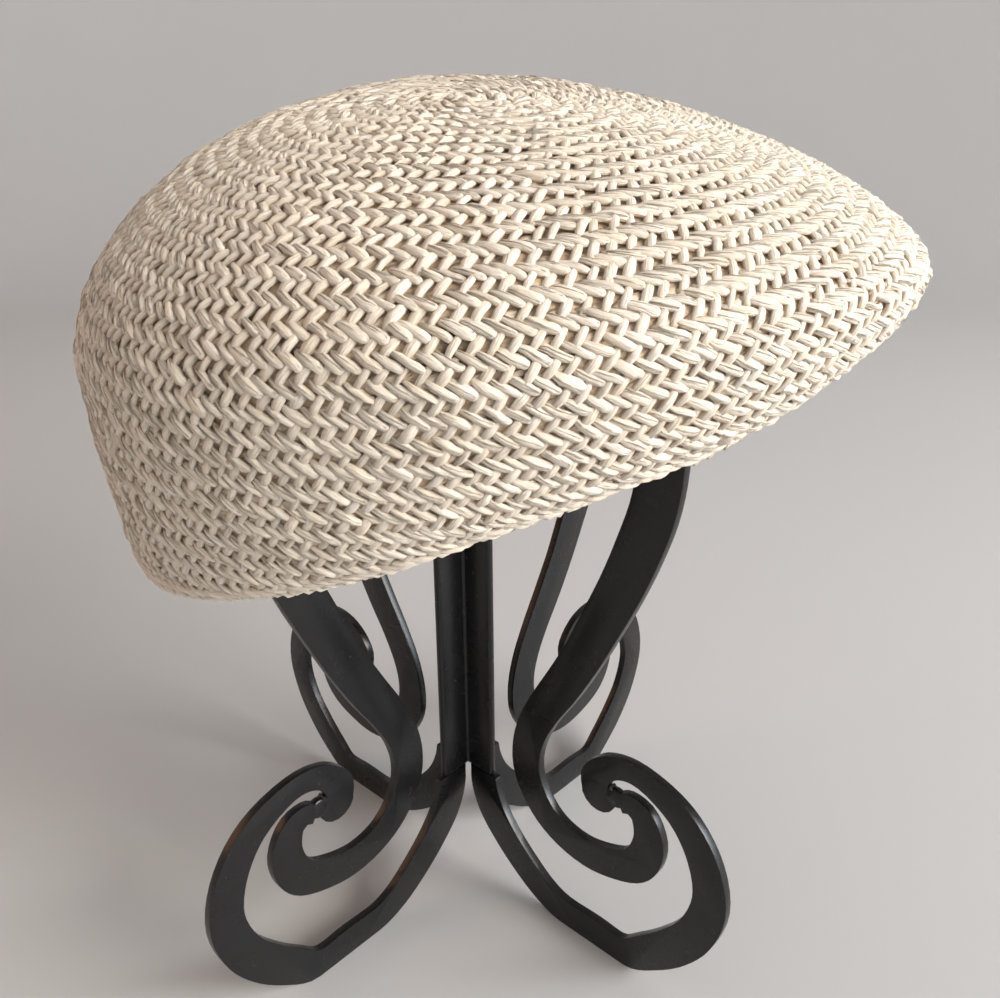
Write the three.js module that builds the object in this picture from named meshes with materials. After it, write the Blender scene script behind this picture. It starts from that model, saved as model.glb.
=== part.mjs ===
// Woven straw cap with a short peak, standing on a black scroll display stand.
// Millimetres, +Z up, the peak points to +X. The lowest point is at Z = 0 and
// the whole is centred on the Z axis in plan.
import * as THREE from 'three';

// Cap sizes.
const CAP_LENGTH = 245; // back bulge to the tip of the peak
const CAP_WIDTH = 222; // widest part, side to side
const CROWN_HEIGHT = 94; // crown centre above the base plane of the rows
const WALL = 2.6; // thickness of the woven wall
const TOP_FULLNESS = 2.3; // corner fullness of the plan at the front half
const EDGE_ROLL = 4.4; // thickness of the rolled edge
const PEAK_DEPTH = 34; // how far the peak reaches in under the front
const PEAK_CORNER_DEPTH = 7; // the same at its two corners
const PEAK_ROUNDNESS = 0.8; // below 1 the crescent stays deep for longer
const PEAK_DROP = 0.3; // fall of the peak for each mm that it reaches in
const PEAK_LIP = 0.8; // how far the peak stands out past the wall
const PEAK_THICKNESS = 2.6;
const PEAK_HALF_ANGLE = 70; // degrees each side of the front
const CORNER_SPACE = 0.6; // degrees between a corner and the rolled edge
const GAP = 0.35; // between pieces that touch

// The four quarters of the cap. reach and turn are shares of the length for
// front and back and of the width for the sides. level and drop are shares of
// the crown height. fullness is the corner of the curve from widest to top.
const BACK = { reach: 0.47, level: 0.275, fullness: 2.0, turn: 0.02, drop: 0.7 };
const FRONT = { reach: 0.53, level: 0.613, fullness: 1.7, turn: 0.05, drop: 0.06 };
const RIGHT = { reach: 0.5, level: 0.619, fullness: 2.33, turn: 0.066, drop: 0.455 };
const LEFT = { reach: 0.505, level: 0.616, fullness: 2.3, turn: 0.045, drop: 0.455 };

// How the cap sits on the stand.
const SEAT_FORWARD = 2.8; // middle of the crown in front of the post
const SEAT_RIGHT = 7.8; // the same to the right of the post
const SEAT_LEAN = 10.74; // degrees, right side down
const SEAT_SWING = 8.32; // degrees, front to the left

// Stand sizes.
const STAND_REACH = 117.5; // post axis to the outer side of a foot
const STAND_HEIGHT = 293.6; // floor to the top of the post
const PLATE = 3; // thickness of the feet and arms
const POST_REACH = 14.2; // post axis to the end of one fin
const LEG_TURN = 1.87; // degrees the stand is turned from the diagonals
const LEG_ANGLES = [45, 135, 225, 315];
const LEG_NAMES = ['left_front', 'left_back', 'right_back', 'right_front'];

// Centre line of one foot: out, up and half width, all as shares of the reach.
const FOOT_LINE = [
  [0.083, 0.4218, 0.057],
  [0.089, 0.362, 0.062],
  [0.119, 0.285, 0.064],
  [0.179, 0.21, 0.061],
  [0.264, 0.134, 0.058],
  [0.349, 0.077, 0.054],
  [0.43, 0.0505, 0.051],
  [0.562, 0.0505, 0.051],
  [0.68, 0.0505, 0.051],
  [0.757, 0.106, 0.056],
  [0.838, 0.185, 0.058],
  [0.911, 0.29, 0.055],
  [0.947, 0.426, 0.053],
  [0.911, 0.565, 0.051],
  [0.826, 0.668, 0.045],
  [0.681, 0.724, 0.035],
  [0.591, 0.702, 0.039],
  [0.543, 0.64, 0.05],
  [0.557, 0.595, 0.063],
];
// Centre line of one arm, from its scroll end up to the post.
const ARM_LINE = [
  [0.632, 0.596, 0.028],
  [0.664, 0.612, 0.034],
  [0.711, 0.596, 0.042],
  [0.74, 0.527, 0.051],
  [0.728, 0.455, 0.054],
  [0.689, 0.4, 0.054],
  [0.609, 0.362, 0.053],
  [0.511, 0.344, 0.052],
  [0.408, 0.366, 0.052],
  [0.333, 0.42, 0.055],
  [0.28, 0.511, 0.057],
  [0.272, 0.596, 0.056],
  [0.293, 0.689, 0.056],
  [0.342, 0.791, 0.057],
  [0.409, 0.902, 0.06],
  [0.48, 1.03, 0.061],
  [0.54, 1.157, 0.064],
  [0.599, 1.285, 0.066],
  [0.649, 1.413, 0.068],
  [0.689, 1.54, 0.068],
  [0.706, 1.668, 0.068],
];
// The arm above that: out as a share of the reach, up as a share of the
// stand height, half width as a share of the reach. It ends at the post.
const ARM_HEAD = [
  [0.704, 0.7255, 0.064],
  [0.676, 0.787, 0.06],
  [0.61, 0.848, 0.056],
  [0.51, 0.899, 0.052],
  [0.385, 0.9366, 0.048],
  [0.26, 0.9588, 0.045],
];
const ARM_END = [0.9673, 0.044];

const AROUND = 56; // steps round the cap
const RINGS_ABOVE = 10; // rings from crown centre to widest
const RINGS_BELOW = 5; // rings from widest to the edge
const LAST_TURN = (80 * Math.PI) / 180; // how far the wall turns under
const ROLL_STEPS = 48; // steps along the rolled edge
const ROLL_SIDES = 8; // sides of its section
const PEAK_STEPS = 32; // steps along the peak
const FOOT_STEPS = 80; // steps along the line of a foot
const ARM_STEPS = 100; // steps along the line of an arm
const END_STEPS = 8; // steps round the end of a foot's scroll
const TOP_SHARE = 0.7; // the stand above this share of its height can meet the cap

// One quarter's outline at a ring: distance out and height.
function quarterAt(quarter, span, ring) {
  const reach = quarter.reach * span;
  const level = quarter.level * CROWN_HEIGHT;
  if (ring <= RINGS_ABOVE) {
    const angle = (ring / RINGS_ABOVE) * (Math.PI / 2);
    const power = 2 / quarter.fullness;
    const out = reach * Math.pow(Math.sin(angle), power);
    const share = Math.pow(Math.max(Math.cos(angle), 0), power);
    return { out, up: level + (CROWN_HEIGHT - level) * share };
  }
  const below = ((ring - RINGS_ABOVE) / RINGS_BELOW) * LAST_TURN;
  const out = reach - quarter.turn * span * (1 - Math.cos(below));
  const up = level - quarter.drop * CROWN_HEIGHT * Math.sin(below);
  return { out, up };
}

function signedPower(value, power) {
  return Math.sign(value) * Math.pow(Math.abs(value), power);
}

// A point of the outside of the cap, in the cap's own frame.
function capPoint(ring, angle) {
  const c = Math.cos(angle);
  const s = Math.sin(angle);
  const front = quarterAt(FRONT, CAP_LENGTH, ring);
  const back = quarterAt(BACK, CAP_LENGTH, ring);
  const left = quarterAt(LEFT, CAP_WIDTH, ring);
  const right = quarterAt(RIGHT, CAP_WIDTH, ring);
  const power = c > 0 ? 2 / TOP_FULLNESS : 1;
  const x = (c > 0 ? front.out : back.out) * signedPower(c, power);
  const y = (s > 0 ? left.out : right.out) * signedPower(s, power);
  const side = (left.up + right.up) / 2;
  const mean = (front.up + back.up + 2 * side) / 4;
  const slope = (front.up - back.up) / 2;
  const cross = (front.up + back.up - 2 * side) / 4;
  const lean = (left.up - right.up) / 2;
  const z = mean + slope * c + cross * (c * c - s * s) + lean * s;
  return new THREE.Vector3(x, y, z);
}

// Unit vectors at a point of the cap: outwards, and down along the wall.
function capFrame(ring, angle) {
  const step = 0.02;
  const last = RINGS_ABOVE + RINGS_BELOW;
  const low = Math.max(ring - step, 0.001);
  const high = Math.min(ring + step, last);
  const down = capPoint(high, angle).sub(capPoint(low, angle)).normalize();
  const round = capPoint(ring, angle + step).sub(capPoint(ring, angle - step)).normalize();
  const outward = new THREE.Vector3().crossVectors(down, round).normalize();
  return { outward, down };
}

// A closed body from loops of points. Every loop has the same count.
function bodyFromLoops(loops) {
  const count = loops[0].length;
  const points = loops.flat();
  const faces = [];
  for (let i = 0; i < loops.length - 1; i += 1) {
    const next = i + 1;
    for (let j = 0; j < count; j += 1) {
      const k = (j + 1) % count;
      const a = i * count + j;
      const b = i * count + k;
      const c = next * count + k;
      const d = next * count + j;
      faces.push(a, d, b, b, d, c);
    }
  }
  const lastStart = (loops.length - 1) * count;
  for (let j = 1; j < count - 1; j += 1) {
    faces.push(0, j, j + 1);
    faces.push(lastStart, lastStart + j + 1, lastStart + j);
  }
  const geometry = new THREE.BufferGeometry();
  const flat = points.flatMap((p) => [p.x, p.y, p.z]);
  geometry.setAttribute('position', new THREE.Float32BufferAttribute(flat, 3));
  geometry.setIndex(faces);
  geometry.computeVertexNormals();
  return geometry;
}

// The woven wall: outside and inside skins joined at the lower edge.
function crownGeometry() {
  const last = RINGS_ABOVE + RINGS_BELOW;
  const points = [];
  const faces = [];
  const top = capPoint(0, 0);
  points.push(top, top.clone().setZ(top.z - WALL));
  const index = (skin, ring, j) => 2 + (skin * last + (ring - 1)) * AROUND + (j % AROUND);
  for (let skin = 0; skin < 2; skin += 1) {
    for (let ring = 1; ring <= last; ring += 1) {
      for (let j = 0; j < AROUND; j += 1) {
        const angle = (j / AROUND) * Math.PI * 2;
        const point = capPoint(ring, angle);
        if (skin === 1) point.addScaledVector(capFrame(ring, angle).outward, -WALL);
        points.push(point);
      }
    }
  }
  for (let j = 0; j < AROUND; j += 1) {
    faces.push(0, index(0, 1, j), index(0, 1, j + 1));
    faces.push(1, index(1, 1, j + 1), index(1, 1, j));
    for (let ring = 1; ring < last; ring += 1) {
      const a = index(0, ring, j);
      const b = index(0, ring, j + 1);
      const c = index(0, ring + 1, j + 1);
      const d = index(0, ring + 1, j);
      faces.push(a, d, b, b, d, c);
      const e = index(1, ring, j);
      const f = index(1, ring, j + 1);
      const g = index(1, ring + 1, j + 1);
      const h = index(1, ring + 1, j);
      faces.push(e, f, h, f, g, h);
    }
    const p = index(0, last, j);
    const q = index(0, last, j + 1);
    const r = index(1, last, j + 1);
    const s = index(1, last, j);
    faces.push(p, s, q, q, s, r);
  }
  const geometry = new THREE.BufferGeometry();
  const flat = points.flatMap((p) => [p.x, p.y, p.z]);
  geometry.setAttribute('position', new THREE.Float32BufferAttribute(flat, 3));
  geometry.setIndex(faces);
  geometry.computeVertexNormals();
  return geometry;
}

// Middle of the cut edge of the wall, and the way the wall runs there.
function edgeAt(angle) {
  const last = RINGS_ABOVE + RINGS_BELOW;
  const frame = capFrame(last, angle);
  const middle = capPoint(last, angle).addScaledVector(frame.outward, -WALL / 2);
  return { middle, outward: frame.outward, down: frame.down };
}

// The rolled edge runs from one corner of the peak round the back to the other.
function edgeRollGeometry() {
  const radius = EDGE_ROLL / 2;
  const start = ((PEAK_HALF_ANGLE + CORNER_SPACE) * Math.PI) / 180;
  const loops = [];
  for (let i = 0; i <= ROLL_STEPS; i += 1) {
    const angle = start + (i / ROLL_STEPS) * (Math.PI * 2 - 2 * start);
    const edge = edgeAt(angle);
    const centre = edge.middle.clone().addScaledVector(edge.down, radius + GAP);
    const loop = [];
    for (let j = 0; j < ROLL_SIDES; j += 1) {
      const turn = (j / ROLL_SIDES) * Math.PI * 2;
      const point = centre.clone();
      point.addScaledVector(edge.outward, radius * Math.cos(turn));
      point.addScaledVector(edge.down, -radius * Math.sin(turn));
      loop.push(point);
    }
    loops.push(loop);
  }
  return bodyFromLoops(loops);
}

// The peak is a thin crescent under the front edge of the wall.
function peakGeometry() {
  const half = (PEAK_HALF_ANGLE * Math.PI) / 180;
  const loops = [];
  for (let i = 0; i <= PEAK_STEPS; i += 1) {
    const angle = -half + (i / PEAK_STEPS) * 2 * half;
    const edge = edgeAt(angle);
    const skin = capPoint(RINGS_ABOVE + RINGS_BELOW, angle);
    const behind = skin.clone().addScaledVector(edge.outward, -WALL);
    const share = Math.max(Math.cos((angle / half) * (Math.PI / 2)), 0);
    const extra = (PEAK_DEPTH - PEAK_CORNER_DEPTH) * Math.pow(share, PEAK_ROUNDNESS);
    const depth = PEAK_CORNER_DEPTH + extra;
    const inward = new THREE.Vector3(-skin.x, -skin.y, 0).normalize();
    const outer = skin.clone().addScaledVector(inward, -PEAK_LIP);
    outer.z = Math.min(skin.z, behind.z) - GAP;
    const inner = outer.clone().addScaledVector(inward, depth);
    inner.z -= PEAK_DROP * depth;
    const outerLow = outer.clone();
    outerLow.z -= PEAK_THICKNESS;
    const innerLow = inner.clone();
    innerLow.z -= PEAK_THICKNESS;
    loops.push([outer, inner, innerLow, outerLow]);
  }
  return bodyFromLoops(loops);
}

const DOWN = new THREE.Vector2(0, -1);
const INWARD = new THREE.Vector2(-1, 0);

// A flat plate cut to a line of changing width. rows hold out, up and half width.
// The start or the end can be cut square to a stated way; the end can be round.
function plateGeometry(rows, steps, { startWay, endWay, roundEnd }) {
  const curve = new THREE.CatmullRomCurve3(rows.map((r) => new THREE.Vector3(...r)));
  const line = curve.getPoints(steps);
  const one = [];
  const other = [];
  line.forEach((p, i) => {
    const before = line[Math.max(i - 1, 0)];
    const after = line[Math.min(i + 1, line.length - 1)];
    let way = new THREE.Vector2(after.x - before.x, after.y - before.y).normalize();
    if (i === 0 && startWay) way = startWay;
    if (i === line.length - 1 && endWay) way = endWay;
    one.push(new THREE.Vector2(p.x - way.y * p.z, Math.max(p.y + way.x * p.z, 0)));
    other.push(new THREE.Vector2(p.x + way.y * p.z, Math.max(p.y - way.x * p.z, 0)));
  });
  const tip = [];
  if (roundEnd) {
    const end = line[line.length - 1];
    const last = one[one.length - 1];
    const begin = Math.atan2(last.y - end.y, last.x - end.x);
    for (let i = 1; i < END_STEPS; i += 1) {
      const turn = begin - (i / END_STEPS) * Math.PI;
      tip.push(new THREE.Vector2(end.x + end.z * Math.cos(turn), end.y + end.z * Math.sin(turn)));
    }
  }
  const outline = [...one, ...tip, ...other.reverse()];
  const shape = new THREE.Shape(outline);
  const geometry = new THREE.ExtrudeGeometry(shape, { depth: PLATE, bevelEnabled: false });
  geometry.translate(0, 0, -PLATE / 2);
  geometry.rotateX(Math.PI / 2);
  return geometry;
}

// The post has four fins, one above each foot.
function postGeometry() {
  const h = PLATE / 2;
  const outline = [];
  for (let i = 0; i < 4; i += 1) {
    const turn = (i * Math.PI) / 2;
    [[h, -h], [POST_REACH, -h], [POST_REACH, h]].forEach(([x, y]) => {
      const p = new THREE.Vector2(x, y).rotateAround(new THREE.Vector2(0, 0), turn);
      outline.push(p);
    });
  }
  const shape = new THREE.Shape(outline);
  const bottom = FOOT_LINE[0][1] * STAND_REACH + GAP;
  const depth = STAND_HEIGHT - bottom;
  const geometry = new THREE.ExtrudeGeometry(shape, { depth, bevelEnabled: false });
  geometry.translate(0, 0, bottom);
  return geometry;
}

const straw = new THREE.MeshStandardMaterial({
  color: 0xe9dcc6,
  roughness: 0.9,
  side: THREE.DoubleSide,
});
const plastic = new THREE.MeshStandardMaterial({ color: 0x17171a, roughness: 0.35 });

function mesh(name, geometry, material) {
  const piece = new THREE.Mesh(geometry, material.clone());
  piece.name = name;
  return piece;
}

function buildStand() {
  const stand = [mesh('post', postGeometry(), plastic)];
  stand[0].geometry.rotateZ(((LEG_ANGLES[0] + LEG_TURN) * Math.PI) / 180);
  const scaled = (row) => row.map((v) => v * STAND_REACH);
  const head = ARM_HEAD.map(([out, up, half]) => [
    out * STAND_REACH,
    up * STAND_HEIGHT,
    half * STAND_REACH,
  ]);
  const end = [POST_REACH + GAP, ARM_END[0] * STAND_HEIGHT, ARM_END[1] * STAND_REACH];
  const foot = FOOT_LINE.map(scaled);
  const arm = [...ARM_LINE.map(scaled), ...head, end];
  LEG_ANGLES.forEach((angle, i) => {
    const turn = ((angle + LEG_TURN) * Math.PI) / 180;
    const footShape = plateGeometry(foot, FOOT_STEPS, { startWay: DOWN, roundEnd: true });
    const armShape = plateGeometry(arm, ARM_STEPS, { endWay: INWARD });
    const footPiece = mesh(`foot_${LEG_NAMES[i]}`, footShape, plastic);
    const armPiece = mesh(`arm_${LEG_NAMES[i]}`, armShape, plastic);
    footPiece.geometry.rotateZ(turn);
    armPiece.geometry.rotateZ(turn);
    stand.push(footPiece, armPiece);
  });
  return stand;
}

// How far the cap must rise so that its inside just clears the stand's top.
function seatHeight(crown, stand) {
  const caster = new THREE.Raycaster();
  const up = new THREE.Vector3(0, 0, 1);
  let height = -Infinity;
  stand.forEach((piece) => {
    const place = piece.geometry.getAttribute('position');
    for (let i = 0; i < place.count; i += 1) {
      if (place.getZ(i) < TOP_SHARE * STAND_HEIGHT) continue;
      const from = new THREE.Vector3(place.getX(i), place.getY(i), -2 * CAP_LENGTH);
      caster.set(from, up);
      const hits = caster.intersectObject(crown);
      if (hits.length > 0) height = Math.max(height, place.getZ(i) - hits[0].point.z);
    }
  });
  return height + GAP;
}

function buildCap(stand) {
  const cap = [
    mesh('crown', crownGeometry(), straw),
    mesh('edge_roll', edgeRollGeometry(), straw),
    mesh('peak', peakGeometry(), straw),
  ];
  const lean = new THREE.Matrix4().makeRotationX((SEAT_LEAN * Math.PI) / 180);
  const swing = new THREE.Matrix4().makeRotationZ((SEAT_SWING * Math.PI) / 180);
  const place = new THREE.Matrix4().makeTranslation(SEAT_FORWARD, -SEAT_RIGHT, 0);
  const move = place.multiply(swing).multiply(lean);
  cap.forEach((piece) => piece.geometry.applyMatrix4(move));
  const height = seatHeight(cap[0], stand);
  cap.forEach((piece) => piece.geometry.translate(0, 0, height));
  return cap;
}

const group = new THREE.Group();
group.name = 'straw_cap_on_stand';
const standPieces = buildStand();
[...buildCap(standPieces), ...standPieces].forEach((piece) => group.add(piece));

// Centre the whole in plan and stand it on Z = 0.
const box = new THREE.Box3().setFromObject(group);
const middle = box.getCenter(new THREE.Vector3());
group.children.forEach((piece) => piece.geometry.translate(-middle.x, -middle.y, -box.min.z));

export default group;
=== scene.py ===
# %% [markdown]
# # A straw newsboy cap on its display stand
# A plain solid model of the cap and the stand already exists, and this lesson
# gives it its looks. The stand needs only soft edges and a good black plastic.
# The cap needs nearly everything: thousands of straw strands, woven in rows
# round the middle of the crown, with gaps, shadows and loose fibres between.

import math

import bmesh
import bpy
import numpy as np
from mathutils import Matrix, Vector


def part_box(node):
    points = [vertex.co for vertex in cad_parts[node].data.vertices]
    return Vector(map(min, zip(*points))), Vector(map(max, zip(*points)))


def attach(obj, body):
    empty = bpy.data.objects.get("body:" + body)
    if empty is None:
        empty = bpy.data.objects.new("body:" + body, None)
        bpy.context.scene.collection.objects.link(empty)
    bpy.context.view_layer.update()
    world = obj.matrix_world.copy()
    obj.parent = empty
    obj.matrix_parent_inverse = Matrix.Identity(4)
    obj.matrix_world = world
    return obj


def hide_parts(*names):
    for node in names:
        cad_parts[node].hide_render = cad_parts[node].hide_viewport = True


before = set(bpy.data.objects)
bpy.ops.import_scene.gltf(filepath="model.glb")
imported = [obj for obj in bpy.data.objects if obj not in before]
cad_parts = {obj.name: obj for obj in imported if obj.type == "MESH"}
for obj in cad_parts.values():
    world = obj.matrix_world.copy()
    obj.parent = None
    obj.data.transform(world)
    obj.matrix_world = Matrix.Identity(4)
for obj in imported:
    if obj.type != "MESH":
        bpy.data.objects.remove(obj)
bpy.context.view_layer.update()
scene = bpy.context.scene
MM = 0.001
print("solids:", ", ".join(sorted(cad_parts)))

# %% [markdown]
# ## The camera
# The picture was taken from close by and a little above, so near parts look
# large and the stand's feet spread. The camera is placed from the foot of the
# post, because the post is the one upright line that is easy to find again.

# %% Place the camera
PHOTO_SIZE = (1000, 998)
FOCAL_PIXELS = 940.9
SENSOR_WIDTH = 36.0
CAMERA_FROM_POST = Vector((12.32, -310.56, 288.8)) * MM
CAMERA_YAW = math.radians(0.25)
CAMERA_DOWN = math.radians(22.16)
CAMERA_ROLL = math.radians(0.49)

post_low, post_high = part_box("post")
post_foot = Vector(((post_low.x + post_high.x) / 2, (post_low.y + post_high.y) / 2, 0))
camera_place = post_foot + CAMERA_FROM_POST


def camera_axes():
    """Three unit vectors: to the right, down and forwards in the picture."""
    flat = math.cos(CAMERA_DOWN)
    forward = Vector((
        math.sin(CAMERA_YAW) * flat,
        math.cos(CAMERA_YAW) * flat,
        -math.sin(CAMERA_DOWN),
    ))
    right = Vector((math.cos(CAMERA_YAW), -math.sin(CAMERA_YAW), 0))
    down = forward.cross(right)
    cos_roll, sin_roll = math.cos(CAMERA_ROLL), math.sin(CAMERA_ROLL)
    return right * cos_roll + down * sin_roll, down * cos_roll - right * sin_roll, forward


camera_right, camera_down, camera_forward = camera_axes()
camera_data = bpy.data.cameras.new("camera")
camera_data.sensor_fit = "HORIZONTAL"
camera_data.sensor_width = SENSOR_WIDTH
camera_data.lens = FOCAL_PIXELS * SENSOR_WIDTH / PHOTO_SIZE[0]
camera_data.clip_start = 0.01
camera = bpy.data.objects.new("camera", camera_data)
camera_turn = Matrix((camera_right, -camera_down, -camera_forward)).transposed()
camera.matrix_world = Matrix.Translation(camera_place) @ camera_turn.to_4x4()
scene.collection.objects.link(camera)
scene.camera = camera
print("camera at", [round(v, 3) for v in camera_place], "lens", round(camera_data.lens, 2))


def to_picture(points):
    """Where points land in the picture, in pixels, and how far away they are."""
    from_camera = np.asarray(points) - np.array(camera_place)
    away = from_camera @ np.array(camera_forward)
    across = from_camera @ np.array(camera_right) / away
    below = from_camera @ np.array(camera_down) / away
    middle = np.array(PHOTO_SIZE) / 2
    pixels = np.stack([across, below], -1) * FOCAL_PIXELS + middle
    return pixels, away


# %% [markdown]
# ## Floor and light
# The floor is a wide pale disc whose edge curves up into a wall far away, so
# that every view has a plain background with no line in it. The light is that
# of a bright shop: a large soft source to the right, a weak warm one on the
# left, a cool one low on the right that the black stand mirrors, a faint one
# overhead, and a dim warm sky that fills the shadows.

# %% Make the floor
FLOOR_REACH = 2.4
WALL_CURVE = 1.0
WALL_HEIGHT = 2.2
CURVE_STEPS = 8
FLOOR_HUB = 0.02
FLOOR_SIDES = 96


def floor_profile():
    """Points from the middle of the floor out and up the far wall."""
    points = [Vector((FLOOR_HUB, 0, 0)), Vector((FLOOR_REACH - WALL_CURVE, 0, 0))]
    for step in range(1, CURVE_STEPS + 1):
        turn = step / CURVE_STEPS * math.pi / 2
        out = FLOOR_REACH - WALL_CURVE * (1 - math.sin(turn))
        points.append(Vector((out, 0, WALL_CURVE * (1 - math.cos(turn)))))
    points.append(Vector((FLOOR_REACH, 0, WALL_HEIGHT)))
    return points


def make_floor():
    """Spin the profile once round and close the small hole in its middle."""
    bm = bmesh.new()
    verts = [bm.verts.new(p) for p in floor_profile()]
    edges = [bm.edges.new(pair) for pair in zip(verts, verts[1:])]
    bmesh.ops.spin(
        bm, geom=verts + edges, cent=(0, 0, 0), axis=(0, 0, 1), angle=2 * math.pi,
        steps=FLOOR_SIDES, use_merge=True,
    )
    hub = [e for e in bm.edges if e.is_boundary and e.verts[0].co.z < MM]
    bmesh.ops.holes_fill(bm, edges=hub, sides=0)
    bmesh.ops.recalc_face_normals(bm, faces=bm.faces)
    mesh = bpy.data.meshes.new("floor")
    bm.to_mesh(mesh)
    bm.free()
    mesh.shade_smooth()
    floor = bpy.data.objects.new("floor", mesh)
    scene.collection.objects.link(floor)
    return floor


floor = make_floor()
print("floor faces:", len(floor.data.polygons))

# %% Light the scene
SKY_COLOUR = (0.90, 0.86, 0.82, 1.0)
SKY_STRENGTH = 0.36
LAMPS = {
    # name: place, size, watts, colour
    "key": ((1.85, -1.1, 0.95), 1.8, 112.0, (1.0, 0.95, 0.885)),
    "left": ((-1.8, 0.1, 0.95), 1.2, 5.0, (1.0, 0.42, 0.16)),
    "right": ((1.9, -0.3, 0.6), 0.8, 9.0, (0.70, 0.85, 1.0)),
    "overhead": ((0.1, 0.4, 1.7), 1.0, 2.0, (1.0, 0.95, 0.90)),
}
LIGHT_AIM = Vector((0, 0, 0.15))


def add_lamp(name, place, size, watts, colour):
    """A round area lamp that is turned towards the middle of the object."""
    data = bpy.data.lights.new(name, "AREA")
    data.shape = "DISK"
    data.size = size
    data.energy = watts
    data.color = colour
    lamp = bpy.data.objects.new(name, data)
    lamp.location = place
    lamp.rotation_euler = (LIGHT_AIM - Vector(place)).to_track_quat("-Z", "Y").to_euler()
    scene.collection.objects.link(lamp)


def add_sky():
    world = bpy.data.worlds.new("sky")
    world.use_nodes = True
    background = world.node_tree.nodes["Background"]
    background.inputs["Color"].default_value = SKY_COLOUR
    background.inputs["Strength"].default_value = SKY_STRENGTH
    scene.world = world


for lamp_name, facts in LAMPS.items():
    add_lamp(lamp_name, *facts)
add_sky()
scene.view_settings.view_transform = "Standard"
print("lamps:", ", ".join(LAMPS))

# %% [markdown]
# ## Materials as sums
# A material is a net of nodes. Written out node by node it is long and hard
# to read, so two small classes do the wiring. A Wire is one output of a node
# and can be added and multiplied as a number can. A Finish is one material,
# and its one method adds any other node.

# %% Helpers for materials


class Wire:
    """One output socket, used in sums as if it were a number."""

    def __init__(self, finish, socket):
        self.finish = finish
        self.socket = socket

    def sum(self, operation, first, second):
        return self.finish.node("ShaderNodeMath", {"operation": operation}, {0: first, 1: second})

    def __add__(self, other):
        return self.sum("ADD", self, other)

    def __radd__(self, other):
        return self.sum("ADD", other, self)

    def __sub__(self, other):
        return self.sum("SUBTRACT", self, other)

    def __rsub__(self, other):
        return self.sum("SUBTRACT", other, self)

    def __mul__(self, other):
        return self.sum("MULTIPLY", self, other)

    def __rmul__(self, other):
        return self.sum("MULTIPLY", other, self)


class Finish:
    """One material with a main shader, to which nodes are added."""

    def __init__(self, name, **constants):
        self.material = bpy.data.materials.new(name)
        self.material.use_nodes = True
        self.tree = self.material.node_tree
        self.tree.nodes.clear()
        output = self.tree.nodes.new("ShaderNodeOutputMaterial")
        self.shader = self.tree.nodes.new("ShaderNodeBsdfPrincipled")
        self.tree.links.new(self.shader.outputs[0], output.inputs[0])
        for key, value in constants.items():
            self.shader.inputs[key.replace("_", " ")].default_value = value

    def node(self, kind, settings=None, inputs=None, output=0):
        made = self.tree.nodes.new(kind)
        for key, value in (settings or {}).items():
            if key == "stops":
                self.set_ramp(made.color_ramp, value)
            else:
                setattr(made, key, value)
        for key, value in (inputs or {}).items():
            self.feed(made.inputs[key], value)
        return Wire(self, made.outputs[output])

    def set_ramp(self, ramp, stops):
        while len(ramp.elements) < len(stops):
            ramp.elements.new(0.5)
        for element, (place, colour) in zip(ramp.elements, stops):
            element.position = place
            element.color = colour

    def feed(self, socket, value):
        if isinstance(value, Wire):
            self.tree.links.new(value.socket, socket)
        else:
            socket.default_value = value

    def set(self, name, value):
        self.feed(self.shader.inputs[name], value)

    def mix(self, share, first, second, kind="MIX"):
        settings = {"data_type": "RGBA", "blend_type": kind}
        return self.node("ShaderNodeMix", settings, {0: share, 6: first, 7: second}, 2)

    def noise(self, where, scale, detail=2.0, roughness=0.5):
        inputs = {"Vector": where, "Scale": scale, "Detail": detail, "Roughness": roughness}
        return self.node("ShaderNodeTexNoise", {}, inputs, "Fac")

    def ramp(self, value, *stops):
        return self.node("ShaderNodeValToRGB", {"stops": stops}, {"Fac": value})

    def bump(self, height, distance, strength=1.0):
        inputs = {"Height": height, "Distance": distance, "Strength": strength}
        self.set("Normal", self.node("ShaderNodeBump", {}, inputs, "Normal"))


def grey(value):
    return (value, value, value, 1.0)


# %% [markdown]
# ## Floor paint
# A plain painted board: nearly white, a little uneven, not glossy.

# %% Floor finish
FLOOR_COLOUR = (0.51, 0.515, 0.525, 1.0)
FLOOR_LIGHTER = 1.04


def floor_finish():
    finish = Finish("pale_floor", Roughness=0.55, Specular_IOR_Level=0.3)
    place = finish.node("ShaderNodeTexCoord", output="Object")
    cloud = finish.noise(place, 3.0, 3.0)
    lighter = tuple(min(v * FLOOR_LIGHTER, 1) for v in FLOOR_COLOUR[:3]) + (1.0,)
    finish.set("Base Color", finish.mix(cloud, FLOOR_COLOUR, lighter))
    return finish.material


floor.data.materials.append(floor_finish())
print("floor finish:", floor.data.materials[0].name)

# %% [markdown]
# ## Black plastic
# The stand is cut from black sheet with a satin face. Its colour hardly
# changes, but its gloss does: handling leaves it cloudy, and a few specks of
# dust are duller still. The sheet also has a very fine unevenness, like the
# skin of an orange, which breaks up the reflections.

# %% Plastic finish
PLASTIC_DARK = (0.0025, 0.0025, 0.003, 1.0)
PLASTIC_PALER = (0.005, 0.005, 0.006, 1.0)
DUST_COLOUR = (0.30, 0.29, 0.27, 1.0)
ORANGE_SKIN = 0.06 * MM


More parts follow.
